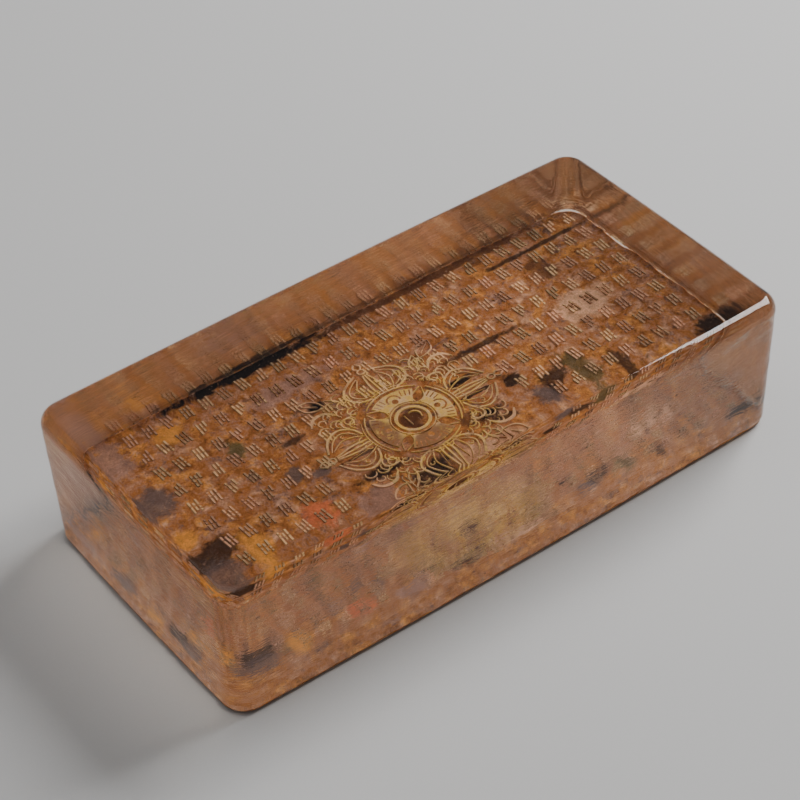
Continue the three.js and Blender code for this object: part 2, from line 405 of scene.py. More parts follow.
def draw_arm(drawing, w):
    """One arm of the crossed vajra along +X: spear, two curved prongs, knob, tip, and petals at its root."""
    for y in (-1.3, 0.0, 1.3):
        path = smooth_path([(15.4, y), (21, y * 1.3), (27.4, y * 0.5)], 10)
        drawing.line(path, w * 1.5, taper=0.2)
    for sign in (1, -1):
        side = Drawing(drawing.wall)
        outer = [(15.6, 4.2), (17.2, 8.4), (21.2, 10.6), (25.6, 8.4), (28.6, 3.0)]
        side.line(smooth_path(outer, 20), w * 1.7, taper=0.2)
        side.line(smooth_path([(17.0, 4.8), (18.6, 7.4), (21.4, 8.8), (24.6, 7.0), (27.2, 3.2)], 20), w, taper=0.3)
        side.line(smooth_path([(15.2, 3.0), (18.6, 4.9), (22.4, 5.6), (26.6, 3.2)], 14), w, taper=0.3)
        for k, (x, y) in enumerate(((15.2, 12.0), (19.4, 13.2), (23.6, 12.6))):
            side.line(arc(x, y, 1.75, -30 - 6 * k, 190 - 6 * k, 12), w, taper=0.2)
        side.line(arc(16.9, 1.8, 1.3, -60, 110, 8), w, taper=0.3)
        side.line(arc(20.9, 7.2, 1.0, -120, 160, 9, radius_end=0.4), w * 0.8)
        side.line([(18.0 + 0.2 * sign, 2.6), (24.6, 3.4)], w * 0.7, taper=0.4)
        drawing.placed(side, lambda p, s=sign: (p[0], p[1] * s))
    drawing.line(arc(29.2, 0, 1.2, 0, 330, 11), w * 1.3, closed=True)
    for sign in (1, -1):
        tip = smooth_path([(30.6, 0.4 * sign), (31.8, 1.3 * sign), (ARM_TIP + 0.6, 0.2 * sign)], 8)
        drawing.line(tip, w * 1.3, taper=0.2)


def draw_corner(drawing, w):
    """Scroll, crescent and leaf in the corner between the arms along +X and +Y."""
    drawing.line(arc(SCROLL_X, SCROLL_Y, SCROLL_RADIUS, -60, 340, 26, radius_end=0.8), w * 1.4, taper=0.2)
    crescent = smooth_path([(16.8, 16.8), (19.6, 20.0), (23.6, 19.8), (26.0, 16.6)], 14)
    drawing.line(crescent, w * 2.6, taper=0.6)
    drawing.line(arc(22.2, 16.4, 1.6, -60, 240, 12, radius_end=0.9), w * 1.2, taper=0.3)
    drawing.line(smooth_path([(17.6, 22.6), (20.8, 22.9), (23.4, 24.6), (24.4, 28.4)], 12), w * 1.2, taper=0.3)
    drawing.line(smooth_path([(17.6, 22.6), (18.4, 26.0), (20.8, 28.2), (24.4, 28.4)], 12), w * 1.2, taper=0.3)
    drawing.line(smooth_path([(19.2, 24.2), (21.4, 26.0), (23.2, 27.4)], 8), w, taper=0.4)
    drawing.line(smooth_path([(12.6, 19.2), (13.4, 22.6), (16.4, 25.4)], 10), w * 1.2, taper=0.3)
    drawing.line(smooth_path([(14.4, 19.4), (16.2, 21.8), (16.4, 25.4)], 10), w, taper=0.3)


def draw_medallion(w, wall):
    whole = Drawing(wall)
    draw_boss(whole, w)
    for quarter in range(4):
        turn = math.pi / 2 * quarter
        for draw, extra, scale in ((draw_wheel_quarter, 0, 1.0), (draw_arm, 0, CROSS_ARM_SCALE),
                                   (draw_diagonal_petal, math.pi / 4, 1.0)):
            piece = Drawing(wall)
            draw(piece, w)
            c, s = math.cos(turn + extra), math.sin(turn + extra)
            whole.placed(piece, lambda p, c=c, s=s, k=scale: (p[0] * c - p[1] * s, (p[0] * s + p[1] * c) * k))
    for sx in (1, -1):
        for sy in (1, -1):
            piece = Drawing(wall)
            draw_corner(piece, w)
            whole.placed(piece, lambda p, sx=sx, sy=sy: (p[0] * sx, p[1] * sy * CROSS_ARM_SCALE))
    placed = Drawing(wall)
    placed.placed(whole, lambda p: (p[0] + MEDALLION_X, p[1] + MEDALLION_Y))
    return placed


FIRST_COLUMN, LAST_COLUMN = -11, 14
FIRST_ROW, LAST_ROW = -2, 5
FIELD_X, FIELD_Y = 0.5, 0.5
CLEARING_Y, CLEARING_REACH_X, CLEARING_REACH_Y = -14.0, 36.0, 28.0
MARK_SEED = 7
STROKE_LEAN = 0.35
BREAK_GAP = 0.34  # bare glass between two pieces of a broken stroke


def broken_stroke(drawing, chooser, x, low, high, lean, width, breaks):
    """Near-upright stroke from low to high, cut in short pieces that never touch."""
    ends = [low, *sorted(low + (high - low) * (k + chooser.uniform(0.7, 1.3)) / (breaks + 1) for k in range(breaks)), high]
    for start, stop in zip(ends, ends[1:]):
        a = start + (BREAK_GAP / 2 if start > low else 0)
        b = stop - (BREAK_GAP / 2 if stop < high else 0)
        drawing.line([(x + lean * a, a), (x + lean * b, b)], width * chooser.uniform(0.92, 1.08))


def draw_mark(drawing, chooser, column, row, size):
    """One mark: three leaning strokes side by side, each broken. Nothing joins them, and none is a letter."""
    width, top = size["stroke_width"], size["mark_height"] / 2
    pick = abs(3 * column + 5 * row) % 4
    side = 1 if pick % 2 == 0 else -1
    lean = (STROKE_LEAN if pick < 2 else -STROKE_LEAN) / size["mark_height"]
    offset = side * (size["mark_width"] - width) / 2
    upper = (column + row) % 2 == 0
    broken_stroke(drawing, chooser, -offset, -top, top, lean, width, chooser.choice((1, 2)))
    broken_stroke(drawing, chooser, 0, -top + chooser.uniform(0, 1.2), top - chooser.uniform(0, 1.2), lean, width, 1)
    near, far = (0, top) if upper else (-top, 0)
    broken_stroke(drawing, chooser, offset, near, far, lean, width, 0)
    if chooser.random() < 0.8:
        near, far = (-top, -BREAK_GAP) if upper else (BREAK_GAP, top)
        broken_stroke(drawing, chooser, offset, near, far, lean, width, chooser.choice((0, 1)))


def draw_marks(size):
    """Rows of marks all over the underside, apart from the near margin and a clearing at the medallion."""
    drawing = Drawing(size["wall_run"])
    chooser = random.Random(MARK_SEED)
    for column in range(FIRST_COLUMN, LAST_COLUMN + 1):
        for row in range(FIRST_ROW, LAST_ROW + 1):
            mark = Drawing(size["wall_run"])
            draw_mark(mark, chooser, column, row, size)
            x, y = FIELD_X + size["column_pitch"] * column, FIELD_Y + size["row_pitch"] * row
            if math.hypot((x - MEDALLION_X) / CLEARING_REACH_X, (y - CLEARING_Y) / CLEARING_REACH_Y) > 1:
                drawing.placed(mark, lambda p, x=x, y=y: (p[0] + x, p[1] + y))
    return drawing


class Underside:
    """The whole flat underside as triangles, each one crust or gilt, and each point at its height."""

    def __init__(self, block, engraving):
        block, size = dict(block), dict(engraving)
        base = ring(block, 0, block["foot_round"])
        medallion = draw_medallion(size["line_width"], size["wall_run"])
        marks = draw_marks(size)
        groups = [[base], medallion.outer + marks.outer, medallion.inner + marks.inner, medallion.dark]
        points, faces, kinds = [], [], []
        for kind, polygons in enumerate(groups):
            for polygon in polygons:
                if kind and self.area(polygon) < 0:
                    polygon = polygon[::-1]
                start = len(points)
                points += [Vector(p) for p in polygon]
                faces.append(list(range(start, len(points))))
                kinds.append(kind)
        spots = chooser_spots(base)
        points += spots
        verts, _, tris, sources, _, owners = delaunay_2d_cdt(points, [], faces, 1, 1e-4, True)
        self.points = [(v.x, v.y) for v in verts]
        self.tris = [tuple(t) for t in tris]
        found = [{kinds[o] for o in owner} for owner in owners]
        self.gilt = [1 in k and 3 not in k for k in found]
        deep = set()
        for tri, k in zip(self.tris, found):
            if 2 in k:
                deep.update(tri)
        self.heights = [
            size["cut_depth"] if i in deep else self.pitting(x, y) for i, (x, y) in enumerate(self.points)
        ]
        rim = {}
        for new, olds in enumerate(sources):
            for old in olds:
                if old < len(base):
                    rim[old] = new
        self.rim = [rim[i] for i in range(len(base))]
        for i in self.rim:
            self.heights[i] = 0.0

    @staticmethod
    def area(polygon):
        return sum(a[0] * b[1] - b[0] * a[1] for a, b in zip(polygon, polygon[1:] + polygon[:1]))

    @staticmethod
    def pitting(x, y):
        """Shallow pits in the crust's outer face. It never stands below the plane that the tile lies on."""
        return 0.09 * max(0.0, noise.fractal(Vector((x, y, 3)) * 0.35, 0.7, 2.0, 3))

    def plate(self, wanted, low, high):
        """Closed sheet over the wanted triangles, from low to high above the surface. Open at the rim."""
        verts, faces, numbers = [], [], {}

        def number(i, offset):
            key = (i, offset)
            if key not in numbers:
                numbers[key] = len(verts)
                x, y = self.points[i]
                verts.append((x, y, self.heights[i] + offset))
            return numbers[key]

        edges = set()
        for tri, want in zip(self.tris, wanted):
            if want:
                faces.append(tuple(number(i, low) for i in reversed(tri)))
                faces.append(tuple(number(i, high) for i in tri))
                edges.update(zip(tri, tri[1:] + tri[:1]))
        rim_edges = set(zip(self.rim, self.rim[1:] + self.rim[:1]))
        for a, b in edges:
            if (b, a) not in edges and (a, b) not in rim_edges:
                faces.append((number(a, low), number(b, low), number(b, high), number(a, high)))
        return verts, faces, number


def chooser_spots(base):
    """Loose points spread over the underside, so that its pits have points to stand on."""
    chooser = random.Random(3)
    reach_x = max(p[0] for p in base) - 1.0
    reach_y = max(p[1] for p in base) - 1.0
    spots = []
    step = 2.2
    for i in range(int(2 * reach_x / step)):
        for j in range(int(2 * reach_y / step)):
            x = -reach_x + step * (i + chooser.uniform(0.1, 0.9))
            y = -reach_y + step * (j + chooser.uniform(0.1, 0.9))
            if math.hypot(max(abs(x) - reach_x + 6, 0), max(abs(y) - reach_y + 6, 0)) < 5:
                spots.append(Vector((x, y)))
    return spots


@functools.cache
def underside(block, engraving):
    return Underside(block, engraving)


# Materials

class Nodes:
    """Short calls that add and link shader nodes."""

    def __init__(self, name):
        self.material = bpy.data.materials.new(name)
        self.material.use_nodes = True
        self.tree = self.material.node_tree
        self.shader = self.tree.nodes["Principled BSDF"]
        self.output = self.tree.nodes["Material Output"]

    def add(self, kind, inputs=(), **settings):
        node = self.tree.nodes.new(kind)
        for key, value in settings.items():
            setattr(node, key, value)
        for key, value in dict(inputs).items():
            self.put(node.inputs[key], value)
        return node

    def put(self, socket, value):
        if isinstance(value, bpy.types.NodeSocket):
            self.tree.links.new(value, socket)
        elif socket.type == "RGBA" and len(value) == 3:
            socket.default_value = (*value, 1.0)
        else:
            socket.default_value = value

    def place(self):
        """The point in millimetres, in the tile's own frame."""
        coords = self.add("ShaderNodeTexCoord")
        scaled = self.add("ShaderNodeVectorMath", {0: coords.outputs["Object"], "Scale": 1 / MM}, operation="SCALE")
        return scaled.outputs[0]

    def noise(self, place, size, detail=4.0, rough=0.55, twist=0.0, shift=(0, 0, 0), stretch=(1, 1, 1)):
        """Noise from 0 to 1 with features of about this size in millimetres."""
        mapped = self.add(
            "ShaderNodeMapping", {"Vector": place, "Location": shift, "Scale": tuple(s / size for s in stretch)}
        )
        made = self.add(
            "ShaderNodeTexNoise",
            {"Vector": mapped.outputs[0], "Scale": 1.0, "Detail": detail, "Roughness": rough, "Distortion": twist},
        )
        return made.outputs["Fac"]

    def span(self, value, low, high, smooth=True):
        """0 below low, 1 above high."""
        made = self.add(
            "ShaderNodeMapRange", {"Value": value, "From Min": low, "From Max": high},
            interpolation_type="SMOOTHSTEP" if smooth else "LINEAR", clamp=True,
        )
        return made.outputs["Result"]

    def math(self, operation, a, b=0.0, clamp=False):
        return self.add("ShaderNodeMath", {0: a, 1: b}, operation=operation, use_clamp=clamp).outputs[0]

    def mix(self, share, a, b, blend="MIX"):
        made = self.add("ShaderNodeMix", {"Factor": share}, data_type="RGBA", blend_type=blend)
        self.put(made.inputs[6], a)
        self.put(made.inputs[7], b)
        return made.outputs[2]

    def ramp(self, value, stops):
        """Colour that changes with a value, through (value, colour) stops."""
        made = self.add("ShaderNodeValToRGB", {0: value})
        elements = made.color_ramp.elements
        elements[0].position, elements[1].position = stops[0][0], stops[-1][0]
        for position, _ in stops[1:-1]:
            elements.new(position)
        for element, (_, tone) in zip(elements, stops):
            element.color = (*tone, 1.0)
        return made.outputs[0]

    def patch(self, place, x, y, half_x, half_y, turn=0.0, soft=0.5, ragged=None, torn=3.2):
        """Oval patch, torn at its edge by a ragged noise: 1 at its middle, 0 outside."""
        mapped = self.add(
            "ShaderNodeMapping",
            {"Vector": place, "Location": (x, y, 0), "Rotation": (0, 0, math.radians(turn)),
             "Scale": (half_x, half_y, 1000)},
            vector_type="TEXTURE",
        )
        away = self.add("ShaderNodeVectorMath", {0: mapped.outputs[0]}, operation="LENGTH").outputs["Value"]
        if ragged is not None:
            away = self.math("ADD", away, self.math("MULTIPLY", self.math("SUBTRACT", ragged, 0.5), torn))
        return self.add(
            "ShaderNodeMapRange", {"Value": away, "From Min": 1 + soft / 2, "From Max": 1 - soft / 2},
            interpolation_type="SMOOTHSTEP", clamp=True,
        ).outputs["Result"]

    def each_mark(self, place, pitch_x, pitch_y, seed):
        """A value from 0 to 1 that is the same all over one mark's cell."""
        cell = self.add(
            "ShaderNodeVectorMath",
            {0: place, 1: (-FIELD_X + pitch_x / 2, -FIELD_Y + pitch_y / 2, 0)}, operation="ADD",
        )
        cell = self.add(
            "ShaderNodeVectorMath", {0: cell.outputs[0], 1: (1 / pitch_x, 1 / pitch_y, 0)}, operation="MULTIPLY",
        )
        cell = self.add("ShaderNodeVectorMath", {0: cell.outputs[0]}, operation="FLOOR")
        cell = self.add("ShaderNodeVectorMath", {0: cell.outputs[0], 1: (0.5, 0.5, seed)}, operation="ADD")
        return self.add("ShaderNodeTexWhiteNoise", {"Vector": cell.outputs[0]}).outputs["Value"]

    def bump(self, height, distance_mm, strength=1.0, normal=None):
        inputs = {"Height": height, "Distance": distance_mm * MM, "Strength": strength}
        if normal is not None:
            inputs["Normal"] = normal
        return self.add("ShaderNodeBump", inputs).outputs[0]


def crust_material(look):
    """Mottled crust: three ramps of tone, mixed in clouds, then single stains with two painted shadow bands among them,
    specks and grain.
    """
    nodes = Nodes("burial_crust")
    place = nodes.place()
    tone = nodes.noise(place, 4.2, detail=9, rough=0.74, twist=0.4, shift=(3, 1, 0))
    ragged = nodes.noise(place, 5.5, detail=9, rough=0.72, twist=0.6, shift=(7, 7, 0))
    fine = nodes.noise(place, 1.2, detail=6, rough=0.7, twist=0.3, shift=(2, 9, 0))
    grain = nodes.noise(place, 0.45, detail=4, rough=0.75)
    orange = nodes.ramp(tone, ((0.30, look.earth), (0.47, look.rust), (0.60, look.ochre), (0.74, look.chalk)))
    pink = nodes.ramp(tone, ((0.30, look.earth), (0.42, look.rust), (0.53, look.ground), (0.70, look.chalk)))
    grey = nodes.ramp(tone, ((0.32, look.soot_and_shade), (0.46, look.slate), (0.58, look.ash), (0.75, look.chalk)))
    colour_now = pink
    for tones, size, seed, low, high, share in ((orange, 13, 3, 0.47, 0.57, 0.9), (grey, 8, 41, 0.55, 0.63, 0.75),
                                                (orange, 3.4, 5, 0.56, 0.64, 0.8), (grey, 3.0, 61, 0.57, 0.65, 0.7)):
        cloud = nodes.noise(place, size, detail=8, rough=0.7, twist=0.5, shift=(seed, -2 * seed, 0))
        colour_now = nodes.mix(nodes.math("MULTIPLY", nodes.span(cloud, low, high), share), colour_now, tones)
    for name, size, seed, low, high, share in LAYERS:
        spread = nodes.noise(place, size, detail=8, rough=0.72, twist=0.5, shift=(seed, -2 * seed, 0))
        cover = nodes.math("MULTIPLY", nodes.span(spread, low, high), share)
        colour_now = nodes.mix(cover, colour_now, getattr(look, name))
    depth = nodes.math("ADD", nodes.math("MULTIPLY", tone, 1.5), 0.25)
    # Two entries of this table are painted shadow bands in soot colour, not stains
    for name, x, y, half_x, half_y, turn, share in STAINS_AND_SHADOW_BANDS:
        mask = nodes.patch(place, x, y, half_x, half_y, turn, 0.7, ragged)
        stain = nodes.add("ShaderNodeVectorMath", {0: getattr(look, name), "Scale": depth}, operation="SCALE")
        colour_now = nodes.mix(nodes.math("MULTIPLY", mask, share), colour_now, stain.outputs[0])
    pits = nodes.span(fine, 0.60, 0.70)
    colour_now = nodes.mix(nodes.math("MULTIPLY", pits, 0.6), colour_now, look.earth)
    crumbs = nodes.span(fine, 0.40, 0.28)
    colour_now = nodes.mix(nodes.math("MULTIPLY", crumbs, 0.45), colour_now, look.chalk)
    light = nodes.math("ADD", nodes.math("MULTIPLY", nodes.span(grain, 0.25, 0.75, smooth=False), 0.7), 0.65)
    shaded = nodes.add("ShaderNodeVectorMath", {0: colour_now, "Scale": light}, operation="SCALE")
    nodes.put(nodes.shader.inputs["Base Color"], shaded.outputs[0])
    nodes.put(nodes.shader.inputs["Roughness"], nodes.math("ADD", nodes.math("MULTIPLY", tone, 0.3), 0.65))
    nodes.shader.inputs["Specular IOR Level"].default_value = 0.04
    rough = nodes.bump(fine, 0.25, 0.7)
    rough = nodes.bump(grain, 0.08, 0.6, rough)
    nodes.put(nodes.shader.inputs["Normal"], rough)
    return nodes.material


# Layers all over the crust: tone, size of its patches in mm, seed, where its noise starts and is full, strength
LAYERS = (
    ("red", 4, 23, 0.62, 0.70, 0.60),
    ("moss", 5, 57, 0.61, 0.68, 0.65),
    ("earth", 6, 31, 0.56, 0.64, 0.60),
    ("earth", 1.8, 19, 0.57, 0.65, 0.70),
    ("soot_and_shade", 2.6, 83, 0.63, 0.69, 0.85),
)

# Single stains, two of them painted shadow bands: tone, middle x and y, half length, half width, turn in degrees,
# strength
STAINS_AND_SHADOW_BANDS = (
    ("soot_and_shade", -26, 48.0, 32, 2.0, 0, 1.0),
    ("earth", 40, 47.8, 40, 1.4, 0, 0.9),
    ("soot_and_shade", 75, 39.4, 20, 1.0, 0, 0.85),
    ("earth", 71, 29, 4.5, 5.5, 0, 0.8),
    ("ash", -24, 34, 14, 4, 0, 0.8),
    ("ash", -81, 40, 4.5, 9, 0, 0.8),
    ("ochre", -62, 39.5, 4, 4, 0, 0.9),
    ("slate", -80, 18, 5, 6, 0, 0.9),
    ("ochre", -83, 0, 4, 4, 0, 0.9),
    ("soot_and_shade", -77, -10, 7, 5, 10, 0.85),
    ("slate", -80, -18, 6, 5, 0, 0.8),
    ("ochre", -67, -16, 4.5, 7, 0, 0.95),
    ("red", -46, -16, 5, 5.5, 0, 0.95),
    ("moss", -50, 22, 2.5, 4, 0, 0.9),
    ("slate", -42, 1.5, 3, 3, 0, 0.9),
    ("ash", -30, -22, 6, 5, 0, 0.85),
    ("chalk", 10, -24, 14, 4, 0, 0.6),
    ("chalk", 71, 8, 10, 7, 0, 0.7),
    ("slate", 35.6, -17, 3.5, 4.5, 0, 0.95),
    ("soot_and_shade", 42.5, -12.5, 5.5, 3.5, 15, 0.85),
    ("soot_and_shade", 62, -20, 2.5, 6, 0, 0.8),
    ("moss", 51, -14, 4, 9, 0, 0.8),
    ("soot_and_shade", 94, -25, 6, 4.5, 0, 0.95),
    ("soot_and_shade", -21, 22, 3.4, 1.9, 20, 1.0),
    ("soot_and_shade", -36, 14, 4.5, 1.3, 0, 0.8),
    ("slate", -36, -2, 3, 2, 0, 0.9),
    ("soot_and_shade", -22.6, -12.8, 7.5, 2.2, -5, 0.95),
    ("soot_and_shade", -9.6, -22, 6.5, 3.5, 0, 0.9),
    ("soot_and_shade", 16.5, -12.6, 5, 1.9, 0, 0.95),
    ("soot_and_shade", 20, -17, 5, 1.7, -10, 0.8),
    ("soot_and_shade", 19, 4.0, 4.2, 1.4, 0, 0.95),
    # Painted shadow: thin black band for the shade between the spear and the lower prong of the +X arm
    ("soot_and_shade", 19, -3.2, 6.5, 0.7, 0, 0.9),
    # Painted shadow: the same thin black band between the spear and the lower prong of the -X arm
    ("soot_and_shade", -22.5, -3.2, 6.5, 0.7, 0, 0.8),
    ("soot_and_shade", 31.5, -5, 3, 2.6, 0, 0.9),
    ("soot_and_shade", 34, 13, 13, 1.2, 0, 0.8),
    ("earth", 11, -11, 3.5, 3, 0, 0.8),
    ("earth", -1.8, -0.6, 4.4, 4.2, 0, 1.0),
)


def gilt_material(look, pitch_x, pitch_y):
    """Gold leaf: yellow on the medallion, paler and different from mark to mark elsewhere, and worn through."""
    nodes = Nodes("gold_leaf")
    place = nodes.place()
    worn = nodes.noise(place, 3.0, detail=6, rough=0.7, shift=(4, 8, 0))
    broad = nodes.noise(place, 22, detail=3, shift=(9, 2, 0))
    fine = nodes.noise(place, 0.7, detail=3)
    medallion = nodes.patch(place, MEDALLION_X, MEDALLION_Y, 26, 24, 0, 0.7)
    hue = nodes.each_mark(place, pitch_x, pitch_y, 1.5)
    strength = nodes.each_mark(place, pitch_x, pitch_y, 7.5)
    mark_leaf = nodes.mix(nodes.span(hue, 0.15, 0.85, smooth=False), look.pale_leaf, look.pink_leaf)
    mark_light = nodes.math("ADD", nodes.math("MULTIPLY", strength, 0.6), 0.5)
    mark_leaf = nodes.add("ShaderNodeVectorMath", {0: mark_leaf, "Scale": mark_light}, operation="SCALE").outputs[0]
    line_leaf = nodes.mix(nodes.span(worn, 0.40, 0.62), look.leaf, look.pale_leaf)
    leaf = nodes.mix(medallion, mark_leaf, line_leaf)
    level = nodes.math("ADD", worn, nodes.math("MULTIPLY", nodes.math("SUBTRACT", broad, 0.5), 0.6))
    for x, y, half_x, half_y in RUBBED:
        rub = nodes.patch(place, x, y, half_x, half_y, 0, 0.9, worn, torn=2.2)
        level = nodes.math("ADD", level, nodes.math("MULTIPLY", rub, 0.22))
    gone = nodes.math("MULTIPLY", nodes.span(level, 1 - look.wear - 0.18, 1 - look.wear), 0.9)
    colour_now = nodes.mix(gone, leaf, look.bare)
    light = nodes.math("ADD", nodes.math("MULTIPLY", fine, 0.5), 0.75)
    shaded = nodes.add("ShaderNodeVectorMath", {0: colour_now, "Scale": light}, operation="SCALE")
    nodes.put(nodes.shader.inputs["Base Color"], shaded.outputs[0])
    nodes.put(nodes.shader.inputs["Metallic"], nodes.math("MULTIPLY", nodes.math("SUBTRACT", 1.0, gone), 0.2))
    nodes.put(nodes.shader.inputs["Roughness"], nodes.math("ADD", nodes.math("MULTIPLY", gone, 0.35), 0.45))
    nodes.shader.inputs["Specular IOR Level"].default_value = 0.1
    nodes.put(nodes.shader.inputs["Normal"], nodes.bump(fine, 0.1, 0.5))
    return nodes.material


# Places where the leaf is rubbed away: middle x and y, half length, half width
RUBBED = (
    (-84, 0, 8, 60),
    (-26, 35, 16, 5),
    (71, 8, 10, 7),
    (-62, 37, 6, 5),
    (10, -25, 14, 4),
    (-12, -1, 4, 7),
    (-2, -11, 7, 4),
)


def glass_material(look):
    """Clear glass: a polished top, and walls with fine level ripples, drawn along them by grinding."""
    nodes = Nodes("amber_glass")
    shader = nodes.shader
    shader.inputs["Base Color"].default_value = (1.0, 1.0, 1.0, 1.0)
    shader.inputs["Transmission Weight"].default_value = 1.0
    shader.inputs["IOR"].default_value = 1.5
    shader.inputs["Roughness"].default_value = look.roughness
    place = nodes.place()
    height = nodes.add("ShaderNodeSeparateXYZ", {0: place}).outputs[2]
    on_wall = nodes.span(height, TILE_HEIGHT - 1.5, TILE_HEIGHT - 5.0)
    ripple = nodes.noise(place, 1.3, detail=3, rough=0.55, twist=0.6, stretch=(0.22, 0.22, 1))
    scratch = nodes.noise(place, 3, detail=3, stretch=(0.15, 3, 1))
    pits = nodes.noise(place, 0.9, detail=2, rough=0.5)
    normal = nodes.bump(nodes.math("MULTIPLY", ripple, on_wall), look.ripple / MM, 1.0)
    normal = nodes.bump(pits, 0.004, 0.4, nodes.bump(scratch, 0.004, 0.5, normal))
    nodes.put(shader.inputs["Normal"], normal)
    absorb = nodes.add("ShaderNodeVolumeAbsorption")
    absorb.inputs["Color"].default_value = (*look.tint, 1.0)
    absorb.inputs["Density"].default_value = look.density
    nodes.tree.links.new(absorb.outputs[0], nodes.output.inputs["Volume"])
    return nodes.material


# Operators, one for each piece or group of like pieces and one for the stage

class TILE_OT_glass_block(bpy.types.Operator):
    """Build the clear glass block with its engraved underside"""

    bl_idname = "tile.glass_block"
    bl_label = "Glass block"

    def execute(self, context):
        scene = context.scene
        sizes = in_mm(scene.tile_block)
        size = dict(sizes)
        sheet = underside(sizes, in_mm(scene.tile_engraving))
        verts = [(x, y, h + GLASS_INSET) for (x, y), h in zip(sheet.points, sheet.heights)]
        faces = [tuple(reversed(tri)) for tri in sheet.tris]
        below = list(sheet.rim)
        for points in foot_rings(sizes, GLASS_INSET) + self.wall_rings(size):
            above = list(range(len(verts), len(verts) + len(points)))
            verts += points
            join_rings(faces, below, above)
            below = above
        self.close_top(size, verts, faces, below)
        block = make_object("glass_block", verts, faces, 35)
        block.data.materials.append(glass_material(scene.tile_glass))
        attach(block, BODY)
        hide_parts(NODE)
        return {"FINISHED"}

    def wall_rings(self, size):
        """Rings from just above the crust's edge to the top face."""
        levels = [(size["foot_round"], 0.0)]
        wall_top = TILE_HEIGHT - size["top_round"]
        for step in range(1, WALL_STEPS + 1):
            levels.append((size["foot_round"] + (wall_top - size["foot_round"]) * step / WALL_STEPS, 0.0))
        for step in range(1, TOP_STEPS + 1):
            angle = math.pi / 2 * step / TOP_STEPS
            levels.append((wall_top + size["top_round"] * math.sin(angle), size["top_round"] * (1 - math.cos(angle))))
        return [self.waved(size, ring(size, z, inset), z) for z, inset in levels]

    def waved(self, size, points, z):
        """One ring of the wall, moved in and out a little. The waves die away at the foot and the top."""
        fade = min(max(z - size["foot_round"], 0) / 3, max(TILE_HEIGHT - z, 0) / 6, 1)
        moved = []
        for i, (x, y) in enumerate(points):
            before, after = points[i - 1], points[(i + 1) % len(points)]
            dx, dy = after[0] - before[0], after[1] - before[1]
            run = math.hypot(dx, dy)
            wave = size["wall_wave"] * fade * noise.noise(Vector((x * 0.14, y * 0.14, z * 0.22)))
            moved.append((x + dy / run * wave, y - dx / run * wave, z))
        return moved

    def close_top(self, size, verts, faces, rim):
        """Top face, with the soft waves of hand polishing."""
        edge = [Vector(verts[i][:2]) for i in rim]
        inside = chooser_spots([(p.x, p.y) for p in edge])[::3]
        points, _, tris, sources, _, _ = delaunay_2d_cdt(edge + inside, [], [list(range(len(edge)))], 1, 1e-4, True)
        numbers = {}
        for new, olds in enumerate(sources):
            for old in olds:
                if old < len(edge):
                    numbers[new] = rim[old]
        for i, p in enumerate(points):
            if i not in numbers:
                numbers[i] = len(verts)
                wave = size["polish_wave"] * (noise.noise(Vector((p.x, p.y, 9)) * 0.045) - 1)
                verts.append((p.x, p.y, TILE_HEIGHT + wave * 0.5))
        faces += [tuple(numbers[i] for i in tri) for tri in tris]


class TILE_OT_burial_crust(bpy.types.Operator):
    """Build the burial crust that coats the underside round the engraved lines"""

    bl_idname = "tile.burial_crust"
    bl_label = "Burial crust"

    def execute(self, context):
        scene = context.scene
        sizes = in_mm(scene.tile_block)
        sheet = underside(sizes, in_mm(scene.tile_engraving))
        thick = scene.tile_crust.thickness / MM
        verts, faces, number = sheet.plate([not g for g in sheet.gilt], 0.0, thick)
        low = [number(i, 0.0) for i in sheet.rim]
        high = [number(i, thick) for i in sheet.rim]
        for outer, inner in zip(foot_rings(sizes, 0.0), foot_rings(sizes, thick)):
            next_low = list(range(len(verts), len(verts) + len(outer)))
            verts += outer
            next_high = list(range(len(verts), len(verts) + len(inner)))
            verts += inner
            join_rings(faces, low, next_low)
            join_rings(faces, next_high, high)
            low, high = next_low, next_high
        join_rings(faces, low, high)
        crust = make_object("burial_crust", verts, faces, 50)
        crust.data.materials.append(crust_material(scene.tile_crust))
        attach(crust, BODY)
        return {"FINISHED"}


class TILE_OT_gilt_lines(bpy.types.Operator):
    """Build the gold leaf in the lines of the medallion and the marks"""

    bl_idname = "tile.gilt_lines"
    bl_label = "Gilt lines"

    def execute(self, context):
        scene = context.scene
        sheet = underside(in_mm(scene.tile_block), in_mm(scene.tile_engraving))
        verts, faces, _ = sheet.plate(sheet.gilt, 0.0, scene.tile_crust.thickness / MM)
        gilt = make_object("gilt_lines", verts, faces, 40)
        sizes = scene.tile_engraving
        gilt.data.materials.append(gilt_material(scene.tile_gilt, sizes.column_pitch / MM, sizes.row_pitch / MM))
        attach(gilt, BODY)
        return {"FINISHED"}


CAMERA_AZIMUTH, CAMERA_HEIGHT_ANGLE, CAMERA_ROLL = -34.546, 41.246, -3.115
CAMERA_DISTANCE = 0.78354
CAMERA_TARGET = (0.015407, 0.030868, 0.0)
CAMERA_LENS = 113.2


